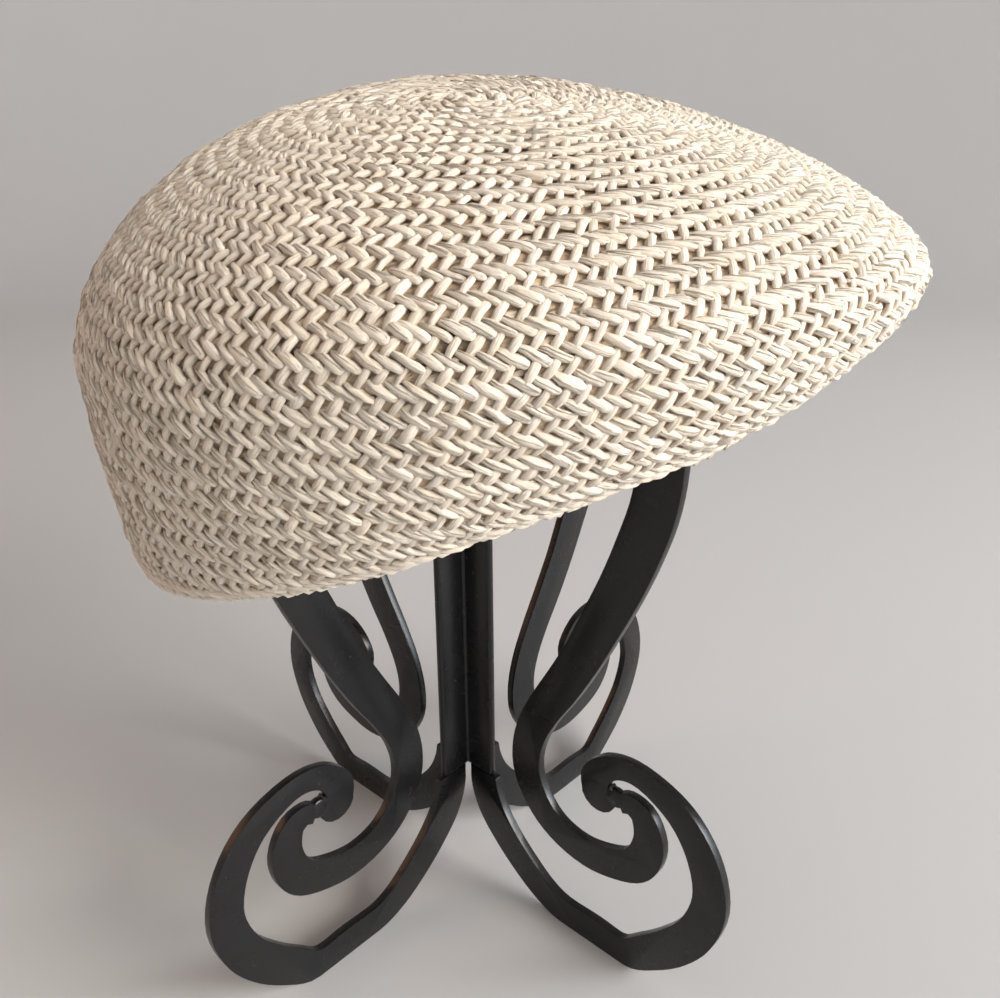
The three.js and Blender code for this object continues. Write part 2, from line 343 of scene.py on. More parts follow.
def plastic_finish():
    finish = Finish("black_plastic", Specular_IOR_Level=0.42)
    place = finish.node("ShaderNodeTexCoord", output="Object")
    cloud = finish.noise(place, 35.0, 4.0, 0.6)
    fine = finish.noise(place, 900.0, 2.0)
    dust = finish.ramp(finish.noise(place, 420.0, 5.0, 0.7), (0.62, grey(0)), (0.78, grey(1)))
    dark = finish.mix(cloud, PLASTIC_DARK, PLASTIC_PALER)
    finish.set("Base Color", finish.mix(dust * 0.08, dark, DUST_COLOUR))
    finish.set("Roughness", 0.2 + cloud * 0.14 + dust * 0.1)
    finish.bump(fine + cloud * 0.5, ORANGE_SKIN, 0.35)
    return finish.material


black_plastic = plastic_finish()
print("stand finish:", black_plastic.name)

# %% [markdown]
# ## The stand
# The solid model has every plate in its right shape, so the plates stay. What
# they lack is the soft look of moulded plastic. A Weld joins the loose
# triangles, a Bevel rounds the sharp corners, and smooth shading then lets the
# flat faces swell a little towards their middle. Where a foot's scroll meets
# its arm's scroll, the real stand has a small knob that joins them.

# %% Round the stand's edges
EDGE_RADIUS = 1.2 * MM
EDGE_STEPS = 3
SHARP_ANGLE = math.radians(40)
WELD_REACH = 0.01 * MM


def smooth_group():
    """Nodes that shade a whole mesh smoothly."""
    group = bpy.data.node_groups.new("smooth", "GeometryNodeTree")
    for way in ("INPUT", "OUTPUT"):
        group.interface.new_socket("Geometry", in_out=way, socket_type="NodeSocketGeometry")
    start = group.nodes.new("NodeGroupInput")
    smooth = group.nodes.new("GeometryNodeSetShadeSmooth")
    end = group.nodes.new("NodeGroupOutput")
    group.links.new(start.outputs[0], smooth.inputs["Geometry"])
    group.links.new(smooth.outputs[0], end.inputs[0])
    return group


smooth_shading = smooth_group()


def soften(piece):
    """Join the loose triangles, round the sharp edges and shade smoothly."""
    weld = piece.modifiers.new("weld", "WELD")
    weld.merge_threshold = WELD_REACH
    bevel = piece.modifiers.new("bevel", "BEVEL")
    bevel.width = EDGE_RADIUS
    bevel.segments = EDGE_STEPS
    bevel.limit_method = "ANGLE"
    bevel.angle_limit = SHARP_ANGLE
    piece.modifiers.new("smooth", "NODES").node_group = smooth_shading


stand_names = [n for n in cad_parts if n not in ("crown", "edge_roll", "peak")]
for stand_name in stand_names:
    stand_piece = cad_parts[stand_name]
    stand_piece.data.materials.clear()
    stand_piece.data.materials.append(black_plastic)
    soften(stand_piece)
print("stand pieces:", len(stand_names))

# %% Knobs where two scrolls meet
KNOB_RADIUS = 3.8 * MM
KNOB_THICKNESS = 3.3 * MM
KNOB_DROP = 1.9 * MM
KNOB_SIDES = 32
MEETING_GAP = 2.0 * MM
LEGS = ("left_front", "left_back", "right_back", "right_front")


def world_points(piece):
    return np.array([piece.matrix_world @ v.co for v in piece.data.vertices])


def meeting_place(first, second):
    """The middle of the place where two pieces nearly touch."""
    a, b = world_points(first), world_points(second)
    gap = np.linalg.norm(a[:, None] - b[None], axis=-1)
    close = np.argwhere(gap < MEETING_GAP)
    return Vector((a[close[:, 0]].mean(axis=0) + b[close[:, 1]].mean(axis=0)) / 2)


def make_knob(leg):
    """A short round plug that lies across the plates where they meet."""
    place = meeting_place(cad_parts["foot_" + leg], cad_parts["arm_" + leg])
    outward = (place - post_foot) * Vector((1, 1, 0))
    outward.normalize()
    away = (place - post_foot).dot(outward)
    place = post_foot + outward * away + Vector((0, 0, place.z - KNOB_DROP))
    turn = outward.to_track_quat("X", "Z").to_matrix() @ Matrix.Rotation(math.pi / 2, 3, "X")
    bm = bmesh.new()
    bmesh.ops.create_cone(
        bm, cap_ends=True, segments=KNOB_SIDES, radius1=KNOB_RADIUS, radius2=KNOB_RADIUS,
        depth=KNOB_THICKNESS, matrix=Matrix.Translation(place) @ turn.to_4x4(),
    )
    mesh = bpy.data.meshes.new("knob_" + leg)
    bm.to_mesh(mesh)
    bm.free()
    mesh.materials.append(black_plastic)
    knob = bpy.data.objects.new("knob_" + leg, mesh)
    scene.collection.objects.link(knob)
    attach(knob, "root")
    soften(knob)
    print(knob.name, "at", [round(v / MM, 1) for v in place])


for leg_name in LEGS:
    make_knob(leg_name)

# %% [markdown]
# ## The shape of the cap
# Straw follows a shape, so the shape comes first. The cap is four quarter
# outlines, front, back, left and right, blended all the way round. A place on
# it is named by a ring, counted from the middle of the crown down to the
# edge, and an angle, counted from the front. These are the sizes of the solid
# model, so the straw lies exactly where the solid is.

# %% Sizes of the cap
CAP_LENGTH = 245.0
CAP_WIDTH = 222.0
CROWN_HEIGHT = 94.0
WALL = 2.6
TOP_FULLNESS = 2.3
RINGS_ABOVE = 10
RINGS_BELOW = 5
LAST_TURN = math.radians(80)
LAST_RING = RINGS_ABOVE + RINGS_BELOW
BACK = {"reach": 0.47, "level": 0.275, "fullness": 2.0, "turn": 0.02, "drop": 0.7}
FRONT = {"reach": 0.53, "level": 0.613, "fullness": 1.7, "turn": 0.05, "drop": 0.06}
RIGHT = {"reach": 0.5, "level": 0.619, "fullness": 2.33, "turn": 0.066, "drop": 0.455}
LEFT = {"reach": 0.505, "level": 0.616, "fullness": 2.3, "turn": 0.045, "drop": 0.455}
SEAT = {"x": 2.8, "y": -7.8, "lean": math.radians(10.74), "swing": math.radians(8.32)}


def quarter_at(quarter, span, ring):
    """One quarter's outline: how far out and how high each ring lies."""
    reach = quarter["reach"] * span
    level = quarter["level"] * CROWN_HEIGHT
    power = 2 / quarter["fullness"]
    angle = np.clip(ring / RINGS_ABOVE, 0, 1) * math.pi / 2
    out_above = reach * np.sin(angle) ** power
    up_above = level + (CROWN_HEIGHT - level) * np.maximum(np.cos(angle), 0) ** power
    below = np.clip((ring - RINGS_ABOVE) / RINGS_BELOW, 0, 1) * LAST_TURN
    out_below = reach - quarter["turn"] * span * (1 - np.cos(below))
    up_below = level - quarter["drop"] * CROWN_HEIGHT * np.sin(below)
    upper = ring <= RINGS_ABOVE
    return np.where(upper, out_above, out_below), np.where(upper, up_above, up_below)


def cap_points(ring, angle):
    """Points on the outside of the cap, upright and centred, in mm."""
    c, s = np.cos(angle), np.sin(angle)
    front_out, front_up = quarter_at(FRONT, CAP_LENGTH, ring)
    back_out, back_up = quarter_at(BACK, CAP_LENGTH, ring)
    left_out, left_up = quarter_at(LEFT, CAP_WIDTH, ring)
    right_out, right_up = quarter_at(RIGHT, CAP_WIDTH, ring)
    power = np.where(c > 0, 2 / TOP_FULLNESS, 1.0)
    x = np.where(c > 0, front_out, back_out) * np.sign(c) * np.abs(c) ** power
    y = np.where(s > 0, left_out, right_out) * np.sign(s) * np.abs(s) ** power
    side_up = (left_up + right_up) / 2
    z = (front_up + back_up + 2 * side_up) / 4 + (front_up - back_up) / 2 * c
    z = z + (front_up + back_up - 2 * side_up) / 4 * (c * c - s * s) + (left_up - right_up) / 2 * s
    return np.stack(np.broadcast_arrays(x, y, z), -1)


# %% [markdown]
# ## A surface that straw can lie on
# A strand is easiest to describe in a flat strip: so far along the row, so far
# down from the crown, so far out of the surface. A Surface turns such a
# description into a place in the room. It keeps fine nets of points, outward
# directions and lengths, evenly spaced down from the crown, and reads between
# them. Lengths along a row are true lengths, so a strand keeps its size where
# the shape bends sharply.

# %% Surfaces
DOWN_STEP = 0.5
AROUND_STEPS = 720
ANGLES = np.linspace(-math.pi, math.pi, AROUND_STEPS + 1)
POINT_SIZE = 0.01  # mm, below which the first ring is taken as one point
SHORTEST_ROW = 0.5


def unit(vectors):
    return vectors / np.maximum(np.linalg.norm(vectors, axis=-1, keepdims=True), 1e-12)


def outward_of(rings):
    """Outward directions of a net of rings that closes on itself."""
    round_way = np.gradient(rings, axis=1)
    ends = rings[:, 1] - rings[:, 0] + rings[:, -1] - rings[:, -2]
    round_way[:, 0] = round_way[:, -1] = ends / 2
    outward = unit(np.cross(np.gradient(rings, axis=0), round_way))
    is_point = np.ptp(rings[0], axis=0).max() < POINT_SIZE
    outward[0] = unit(outward[1].mean(axis=0)) if is_point else outward[1]
    return outward


class Surface:
    """A sheet read by mm down, angle round and mm out. Its rings are in mm."""

    def __init__(self, rings, flip=False):
        outward = outward_of(rings) * (-1 if flip else 1)
        steps = np.linalg.norm(np.diff(rings, axis=0), axis=2)
        travelled = np.concatenate([np.zeros((1, rings.shape[1])), np.cumsum(steps, 0)])
        self.reach = travelled[-1]
        self.downs = np.arange(0, self.reach.max() + DOWN_STEP, DOWN_STEP)
        self.points = self.even(travelled, rings)
        self.outward = unit(self.even(travelled, outward))
        sideways = np.linalg.norm(np.diff(self.points, axis=1), axis=2)
        start = np.zeros((len(self.downs), 1))
        self.lengths = np.concatenate([start, np.cumsum(sideways, 1)], 1)
        self.whole = np.maximum(self.lengths[:, -1], SHORTEST_ROW)
        shares = np.linspace(0, 1, AROUND_STEPS + 1)
        rows = zip(self.whole, self.lengths)
        self.even_angles = np.array([np.interp(shares * total, row, ANGLES) for total, row in rows])

    def even(self, travelled, values):
        """Values moved from the rings to even steps down."""
        made = np.empty((len(self.downs),) + values.shape[1:])
        for column in range(values.shape[1]):
            for part in range(3):
                source = values[:, column, part]
                made[:, column, part] = np.interp(self.downs, travelled[:, column], source)
        return made

    def read(self, net, down, share):
        """Values of a net between its points. share is the way round, 0 to 1."""
        row = np.clip(down / DOWN_STEP, 0, len(self.downs) - 1.001)
        column = (share * AROUND_STEPS) % AROUND_STEPS
        i, j = row.astype(int), column.astype(int)
        f, g = row - i, column - j
        if net.ndim == 3:
            f, g = f[..., None], g[..., None]
        upper = net[i, j] * (1 - g) + net[i, j + 1] * g
        lower = net[i + 1, j] * (1 - g) + net[i + 1, j + 1] * g
        return upper * (1 - f) + lower * f

    def step_along(self, down, angle, along):
        """The angle that lies so many mm along the row from another angle."""
        share = (angle + math.pi) / (2 * math.pi)
        whole = np.interp(down, self.downs, self.whole)
        length = self.read(self.lengths, down, share + 0 * down) + along
        return self.read(self.even_angles, down, length / whole)

    def at(self, down, angle, out):
        """Places in the room, in metres."""
        share = (angle + math.pi) / (2 * math.pi)
        normal = unit(self.read(self.outward, down, share))
        return (self.read(self.points, down, share) + normal * out[..., None]) * MM

    def reach_at(self, angle):
        """How many mm the surface goes down at an angle."""
        return np.interp((angle + math.pi) % (2 * math.pi) - math.pi, ANGLES, self.reach)


# %% Seat the cap on the stand
FINE_RINGS = np.linspace(0, LAST_RING, 451)
seat_turn = Matrix.Rotation(SEAT["swing"], 3, "Z") @ Matrix.Rotation(SEAT["lean"], 3, "X")
seat_place = np.array([post_foot.x / MM + SEAT["x"], post_foot.y / MM + SEAT["y"], 0])


def seated(points):
    """Upright cap points leant and swung as the cap sits, in mm."""
    return points @ np.array(seat_turn).T + seat_place


upright_rings = cap_points(FINE_RINGS[:, None], ANGLES[None, :])
seat_place[2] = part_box("crown")[1].z / MM - seated(upright_rings)[..., 2].max()
cap_rings = seated(upright_rings)
cap = Surface(cap_rings)
print("cap seated", round(seat_place[2], 2), "mm up")
print("crown to edge", np.round(cap.reach[:: AROUND_STEPS // 4], 1), "mm")

# %% [markdown]
# ## The weave
# Looked at closely, the straw runs in rows round the crown, 6.5 mm apart. Each
# row has two kinds of strand. Long plump ones slope down towards the front,
# lie like roof tiles half over each other, and end in a blunt bright tip.
# Short steep ones lean the other way, sit lower, and dive under the next row.
# Together they make arrowheads. Behind both lies a flat inner layer, which
# shows tan in the gaps, a tan that is partly painted shade, and is what the head feels.
#
# Each kind is one short table: the middle line of the strand and how thick
# it is. The strand itself is a tube of a few dozen faces, made once with
# operators and then laid thousands of times.

# %% Tables of strands, in mm
ROW_PITCH = 6.5
ROW_START = 4.0
ROW_SHIFT = 0.4
STRAND_SPACING = 4.3
# Columns: along the row, down, out of the surface, half width, half thickness.
ALONG, LOWER, OUT, WIDTH, THICKNESS = range(5)
LONG_STRAND = np.array([
    (-7.3, -4.35, -2.00, 0.42, 0.40),
    (-6.3, -3.80, -1.62, 0.80, 0.68),
    (-4.7, -2.85, -1.18, 1.08, 0.86),
    (-3.0, -1.80, -0.95, 1.17, 0.92),
    (-1.3, -0.80, -0.90, 1.17, 0.92),
    (-0.25, -0.18, -0.98, 1.03, 0.84),
    (0.32, 0.16, -1.18, 0.70, 0.60),
    (0.56, 0.30, -1.42, 0.26, 0.25),
])
SHORT_STRAND = np.array([
    (2.4, -2.15, -2.05, 0.70, 0.60),
    (1.2, -0.20, -1.22, 1.14, 0.90),
    (0.0, 1.60, -0.98, 1.22, 0.95),
    (-1.1, 3.40, -1.45, 1.04, 0.80),
    (-2.0, 4.90, -2.20, 0.55, 0.40),
])
INNER_STRAND = np.array([
    (6.2, 0.4, -2.25, 0.80, 0.35),
    (2.4, 2.2, -2.02, 1.80, 0.50),
    (-2.4, 4.4, -2.02, 1.80, 0.50),
    (-6.2, 6.2, -2.25, 0.80, 0.35),
])


# %% One strand, made with operators


def from_lowest(ring):
    """A face's vertex numbers, still in order, but starting with the lowest."""
    start = ring.index(min(ring))
    return ring[start:] + ring[:start]


class Template:
    """A closed tube: for each vertex its station and its place round the tube."""

    def __init__(self, stations, sides):
        bm = bmesh.new()
        made = bmesh.ops.create_circle(bm, cap_ends=True, radius=1.0, segments=sides)
        top = made["verts"][0].link_faces[0]
        for step in range(stations - 1):
            below = top
            result = bmesh.ops.extrude_face_region(bm, geom=[below])
            top = next(g for g in result["geom"] if isinstance(g, bmesh.types.BMFace))
            bmesh.ops.translate(bm, vec=(0, 0, 1), verts=top.verts)
            if step > 0:
                bmesh.ops.delete(bm, geom=[below], context="FACES_ONLY")
        bmesh.ops.recalc_face_normals(bm, faces=bm.faces)
        bm.verts.index_update()
        places = np.array([v.co for v in bm.verts])
        # Operators may hand faces over in any order, so they get a fixed one.
        self.faces = sorted(from_lowest([v.index for v in face.verts]) for face in bm.faces)
        bm.free()
        self.station = np.rint(places[:, 2]).astype(int)
        self.cos, self.sin = places[:, 0], places[:, 1]
        turn = np.arctan2(self.sin, self.cos) / (2 * math.pi) * sides
        self.side = np.rint(turn).astype(int) % sides
        self.sides = sides
        self.count = len(places)


long_template = Template(len(LONG_STRAND), 7)
short_template = Template(len(SHORT_STRAND), 6)
inner_template = Template(len(INNER_STRAND), 5)
templates = (long_template, short_template, inner_template)
print("faces in one strand:", [len(template.faces) for template in templates])

# %% [markdown]
# ## Laying strands
# No two strands of real straw are alike. Each gets its own length, place,
# height and thickness, a fluted section like a bundle of fibres, and a twist
# that its colour lines follow. All of them are then turned into one mesh from
# arrays, because thousands of separate objects would be slow.

# %% How much strands differ
# Shares of a strand's own length, slope, width, thickness and section.
LENGTH_SPREAD = 0.05
SLOPE_SPREAD = 0.06
WIDTH_SPREAD = 0.11
THICKNESS_SPREAD = 0.09
FLUTE_SPREAD = 0.12
SKIN_SPREAD = 0.05
# In mm: along the row, down, each bend by itself, and out of the surface.
ALONG_SPREAD = 0.24
DOWN_SPREAD = 0.18
BEND_SPREAD = 0.10
OUT_SPREAD = 0.12
# The wall's own waves: how many go round, how they slant and where they start.
WAVES = ((3, 0.07, 0.0), (7, -0.11, 1.7), (12, 0.21, 0.0))
WAVE_HEIGHT = 0.16


def join_faces(faces, count, vertices_each):
    """The faces of one strand repeated for every strand."""
    joined = []
    for n in range(count):
        offset = n * vertices_each
        joined.extend([[v + offset for v in face] for face in faces])
    return joined


def hand_made(table, count, rng, wobble):
    """The table for every strand, each a little different as hand work is."""
    wobble = np.broadcast_to(wobble, count)[:, None]
    rows = np.repeat(table[None], count, axis=0)
    rows[:, :, ALONG] *= 1 + LENGTH_SPREAD * rng.standard_normal((count, 1))
    rows[:, :, ALONG] += ALONG_SPREAD * wobble * rng.standard_normal((count, 1))
    rows[:, :, LOWER] *= 1 + SLOPE_SPREAD * rng.standard_normal((count, 1))
    rows[:, :, LOWER] += DOWN_SPREAD * wobble * rng.standard_normal((count, 1))
    rows[:, :, LOWER] += BEND_SPREAD * wobble * rng.standard_normal((count, table.shape[0]))
    rows[:, :, OUT] += OUT_SPREAD * wobble * rng.standard_normal((count, 1))
    rows[:, :, WIDTH] *= 1 + WIDTH_SPREAD * rng.standard_normal((count, 1))
    rows[:, :, THICKNESS] *= 1 + THICKNESS_SPREAD * rng.standard_normal((count, 1))
    return rows


def unevenness(down, angle):
    """The slow rise and fall of the whole wall, in mm."""
    waves = [np.sin(turns * angle + slant * down + start) for turns, slant, start in WAVES]
    return WAVE_HEIGHT * sum(waves)


def add_attribute(mesh, name, kind, field, values):
    layer = mesh.attributes.new(name, kind, "POINT")
    layer.data.foreach_set(field, np.asarray(values, np.float32).ravel())


# %% Lay many strands
TOP_MARGIN = 0.6  # mm that strands keep from the very middle of the crown
EDGE_OVERRUN = 0.3  # mm that they may reach past the edge
MOST_TWIST = 1.1
GRAIN_STRETCH = 0.07
GRAIN_ROOM = 900.0


def lay_strands(name, surface, row_down, angle, rows, template, rng):
    """One mesh of many strands. row_down tells how far down each row lies at angles."""
    t, count = template, len(angle)
    flute = 1 + FLUTE_SPREAD * rng.standard_normal((count, t.sides))[:, t.side]
    flute = flute * (1 + SKIN_SPREAD * rng.standard_normal((count, t.count)))
    ways = unit(np.gradient(rows[:, :, :OUT], axis=1))
    width = rows[:, t.station, WIDTH] * t.cos * flute
    along = rows[:, t.station, ALONG] - ways[:, t.station, LOWER] * width
    lower = rows[:, t.station, LOWER] + ways[:, t.station, ALONG] * width
    out = rows[:, t.station, OUT] + rows[:, t.station, THICKNESS] * t.sin * flute
    first = np.clip(row_down(angle[:, None]) + lower, TOP_MARGIN, None)
    angles = surface.step_along(first, angle[:, None], along)
    lowest = surface.reach_at(angles) + EDGE_OVERRUN
    down = np.clip(row_down(angles) + lower, TOP_MARGIN, lowest)
    vertices = surface.at(down, angles, out + unevenness(down, angles))
    mesh = bpy.data.meshes.new(name)
    mesh.from_pydata(vertices.reshape(-1, 3), [], join_faces(t.faces, count, t.count))
    twist = rng.uniform(-MOST_TWIST, MOST_TWIST, (count, 1)) * t.station / t.station.max()
    grain = np.empty(vertices.shape)
    start = rng.uniform(0, GRAIN_ROOM, (count, 1))
    grain[..., 0] = rows[:, t.station, ALONG] * GRAIN_STRETCH + start
    grain[..., 1] = t.cos * np.cos(twist) - t.sin * np.sin(twist)
    grain[..., 2] = t.cos * np.sin(twist) + t.sin * np.cos(twist)
    tone = np.repeat(rng.uniform(0, 1, (count, 1)), t.count, axis=1)
    add_attribute(mesh, "grain", "FLOAT_VECTOR", "vector", grain)
    add_attribute(mesh, "tone", "FLOAT", "value", tone)
    add_attribute(mesh, "depth", "FLOAT", "value", np.clip(-out / WALL, 0, 1))
    mesh.shade_smooth()
    return new_piece(name, mesh)


def level_rows(downs):
    """For lay_strands: rows that stay as far down all the way round."""
    return lambda angle: downs[:, None] + 0 * angle


def new_piece(name, mesh):
    piece = bpy.data.objects.new(name, mesh)
    scene.collection.objects.link(piece)
    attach(piece, "root")
    return piece


def triangles(piece):
    return sum(len(p.vertices) - 2 for p in piece.data.polygons)


def finish_straw(piece, node):
    piece.data.materials.append(straw)
    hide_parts(node)
    print(piece.name, triangles(piece), "triangles")


# %% [markdown]
# ## Straw
# The straw is a pale dried leaf, twisted into strands. Fine fibres run the
# length of each strand and show as thin lines, some bright and some tan. One
# strand is a shade warmer or paler than the next. Light that gets down into
# the weave is reddened by the straw round it, so the deep parts are made a
# little more tan. A few strands have a brown fleck. A depth above 1 marks the
# backing behind an open place in the weave, which is painted nearly black as
# painted shade.

# %% Straw finish
STRAW_PALE = (0.96, 0.91, 0.83, 1.0)
STRAW_WARM = (0.85, 0.74, 0.60, 1.0)
STRAW_DEEP = (0.74, 0.56, 0.38, 1.0)
STRAW_SHADE = (0.012, 0.009, 0.006, 1.0)
STRAW_FLECK = (0.30, 0.19, 0.10, 1.0)


def straw_finish():
    finish = Finish("straw", Specular_IOR_Level=0.45)
    grain = finish.node("ShaderNodeAttribute", {"attribute_name": "grain"}, output="Vector")
    tone = finish.node("ShaderNodeAttribute", {"attribute_name": "tone"}, output="Fac")
    depth = finish.node("ShaderNodeAttribute", {"attribute_name": "depth"}, output="Fac")
    place = finish.node("ShaderNodeTexCoord", output="Object")
    fibre = finish.noise(grain, 2.3, 3.0, 0.7)
    hair = finish.noise(grain, 6.5, 2.0, 0.6)
    patch = finish.noise(place, 26.0, 2.0)
    lines = finish.ramp(fibre, (0.42, grey(0)), (0.57, grey(1)))
    body = finish.mix(lines * 0.62 + tone * 0.38, STRAW_WARM, STRAW_PALE)
    body = finish.mix((1 - hair) * 0.22, body, STRAW_WARM, "MULTIPLY")
    body = finish.mix(patch * 0.18, body, STRAW_WARM)
    # Painted shade: the deeper a part lies in the weave, the more it is tinted towards STRAW_DEEP.
    sink = finish.ramp(depth, (0.30, grey(0)), (0.90, grey(1)))
    body = finish.mix(sink * 0.8, body, STRAW_DEEP)
    fleck = finish.ramp(finish.noise(place, 330.0, 1.0), (0.765, grey(0)), (0.80, grey(1)))
    body = finish.mix(fleck * 0.7, body, STRAW_FLECK)
    # Painted shade: a depth above 1 turns the straw nearly black.
    shade = finish.ramp(depth * 0.5, (0.52, grey(0)), (0.72, grey(1)))
    finish.set("Base Color", finish.mix(shade, body, STRAW_SHADE))
    finish.set("Roughness", 0.66 - fibre * 0.3)
    finish.bump(fibre + hair * 0.6, 0.6 * MM, 1.0)
    return finish.material


straw = straw_finish()
print("cap finish:", straw.name)

# %% [markdown]
# ## The rows of the crown
# A row is a closed curve at one distance down from the middle of the crown.
# As many strands go round it as fit at 4.3 mm, and each row starts a little
# further on than the one above. The edge of the cap cuts across the rows,
# because the cap was pulled down at the back and up at the front, so rows
# low down are only part of the way round.

# %% Places of all strands
EDGE_MARGIN = 1.6


def row_places(surface, down, spacing, shift):
    """Angles at even spacing round the row that lies that far down."""
    lengths = surface.lengths[int(round(down / DOWN_STEP))]
    count = max(4, int(round(lengths[-1] / spacing)))
    right_side = np.interp(-math.pi / 2, ANGLES, lengths)
    wanted = right_side + (np.arange(count) + shift) / count * lengths[-1]
    return np.interp(wanted % lengths[-1], lengths, ANGLES)


def crown_places():
    """Mm down and angle of the blunt tip of every long strand."""
    downs, angles = [], []
    for row, down in enumerate(np.arange(ROW_START, cap.reach.max() + ROW_PITCH, ROW_PITCH)):
        around = row_places(cap, min(down, cap.reach.max()), STRAND_SPACING, -ROW_SHIFT * row)
        inside = down - EDGE_MARGIN < cap.reach_at(around)
        downs.append(np.full(inside.sum(), down))
        angles.append(around[inside])
    print("rows:", len(downs))
    return np.concatenate(downs), np.concatenate(angles)


crown_down, crown_angle = crown_places()
print("strands of each kind:", len(crown_down))

# %% [markdown]
# ## Open places and a loose patch
# In a few places the weave is open. There the inner strands are left out and
# the backing behind is painted nearly black, as painted shade for the dark
# inside. Near the front of the crown the rows are pushed out of line. Both were
# found in the picture, so their places are pixels, which are carried on to the surface.

# %% Find places on the cap that the picture shows
# Open places of the weave. The backing behind them is painted nearly black as painted shade.
OPEN_SHADE_PIXELS = [
    (223, 294), (241, 294), (258, 295), (290, 299), (239, 311), (250, 317),
    (234, 331), (300, 308), (213, 350), (230, 353), (284, 361), (301, 362),
    (292, 354), (209, 375), (223, 377), (235, 382), (293, 388), (202, 398),
    (211, 405), (235, 404), (214, 425), (197, 442), (225, 448), (243, 451),
    (159, 370), (173, 392), (274, 266), (288, 278), (248, 270), (306, 250),
    (437, 360), (422, 353), (428, 370), (443, 350), (458, 361), (464, 351),
    (418, 335), (444, 330), (459, 332), (477, 334), (415, 300), (409, 302),
]
LOOSE_PIXEL = (560, 215)
LOOSE_REACH = 55.0
LOOSE_GROWTH = 1.4
OPEN_SHADE_REACH = 2.2
SPOT_STRIDE = 3


def cap_spots(pixels):
    """Points of the near side of the cap that land on these pixels, in mm."""
    flat = cap_rings[::SPOT_STRIDE].reshape(-1, 3)
    outward = outward_of(cap_rings)[::SPOT_STRIDE].reshape(-1, 3)
    facing = ((np.array(camera_place) / MM - flat) * outward).sum(-1)
    near = flat[facing > 0]
    seen = to_picture(near * MM)[0]
    return np.array([near[((seen - p) ** 2).sum(-1).argmin()] for p in pixels])


open_shade_spots = cap_spots(OPEN_SHADE_PIXELS)


def spot_distance(points):
    """How far each point, in mm, lies from the nearest open place, where the backing is painted
    dark.
    """
    return np.linalg.norm(points[:, None] - open_shade_spots[None], axis=-1).min(axis=1)


def looseness(down, angle):
    """How much strands are out of line: 1 as usual, more in the loose patch."""
    seen = to_picture(cap.at(down, angle, 0 * down))[0]
    away = np.linalg.norm(seen - np.array(LOOSE_PIXEL), axis=-1)
    return 1 + LOOSE_GROWTH * np.exp(-((away / LOOSE_REACH) ** 2))


print("open places:", len(open_shade_spots))

# %% Weave the crown
SMALL_UNTIL = 14.0  # mm from the middle, within which strands are shorter
SMALLEST = 0.55
INNER_MIDDLE = 3.4
INNER_WOBBLE = 0.6


def weave(name, table, template, seed, keep, wobble_share=1.0):
    """Lay one strand at each kept place, and tell how each was shaped."""
    rng = np.random.default_rng(seed)
    downs, angles = crown_down[keep], crown_angle[keep]
    wobble = looseness(downs, angles) * wobble_share
    rows = hand_made(table, len(downs), rng, wobble)
    small = np.clip(downs / SMALL_UNTIL, SMALLEST, 1)[:, None, None]
    rows[:, :, :OUT] *= small
    piece = lay_strands(name, cap, level_rows(downs), angles, rows, template, rng)
    finish_straw(piece, "crown")
    return downs, angles, rows


near_side = crown_angle < 0
long_near = weave("weave_long_near", LONG_STRAND, long_template, 21, near_side)
long_far = weave("weave_long_far", LONG_STRAND, long_template, 22, ~near_side)
weave("weave_short_near", SHORT_STRAND, short_template, 23, near_side)
weave("weave_short_far", SHORT_STRAND, short_template, 24, ~near_side)
inner_middle = cap.at(crown_down + INNER_MIDDLE, crown_angle, 0 * crown_down) / MM
every_second = np.arange(len(crown_down)) % 2 == 0
inner_kept = every_second & (spot_distance(inner_middle) > OPEN_SHADE_REACH)
weave("weave_inner", INNER_STRAND, inner_template, 25, inner_kept, INNER_WOBBLE)

# %% [markdown]
# ## Split fibres
# A strand is a bundle. Here and there a fibre has split off it and lies on
# top, and these thin raised lines are what makes straw look rough. Each one
# follows its own strand, a little to one side of the middle.

# %% Lay split fibres on the long strands
SPLIT_STATIONS = [1, 2, 3, 5]
SPLIT_HALF_WIDTH = 0.15
SPLIT_HALF_THICKNESS = 0.11
SPLIT_WIDTHS = (0.6, 1.2)
SPLITS_EACH = 2
SPLIT_SIDE = 0.75
SPLIT_SLANT = 0.2
SLANT_OF_STATION = np.array([[-1, 0, 0, 1]])
split_template = Template(len(SPLIT_STATIONS), 3)


def lay_splits(name, strands, seed):
    """Thin fibres on top of strands that weave has shaped."""
    rng = np.random.default_rng(seed)
    downs, angles, rows = (np.repeat(part, SPLITS_EACH, axis=0) for part in strands)
    ways = unit(np.gradient(rows[:, :, :OUT], axis=1))[:, SPLIT_STATIONS]
    rows = rows[:, SPLIT_STATIONS]
    side = rng.uniform(-SPLIT_SIDE, SPLIT_SIDE, (len(rows), 1))
    side = side + rng.uniform(-SPLIT_SLANT, SPLIT_SLANT, (len(rows), 1)) * SLANT_OF_STATION
    splits = rows.copy()
    splits[:, :, ALONG] -= ways[:, :, LOWER] * rows[:, :, WIDTH] * side
    splits[:, :, LOWER] += ways[:, :, ALONG] * rows[:, :, WIDTH] * side
    splits[:, :, OUT] += rows[:, :, THICKNESS] * np.sqrt(1 - side**2)
    splits[:, :, WIDTH] = SPLIT_HALF_WIDTH * rng.uniform(*SPLIT_WIDTHS, (len(rows), 1))
    splits[:, :, THICKNESS] = SPLIT_HALF_THICKNESS
    piece = lay_strands(name, cap, level_rows(downs), angles, splits, split_template, rng)
    finish_straw(piece, "crown")


lay_splits("splits_near", long_near, 26)
lay_splits("splits_far", long_far, 27)

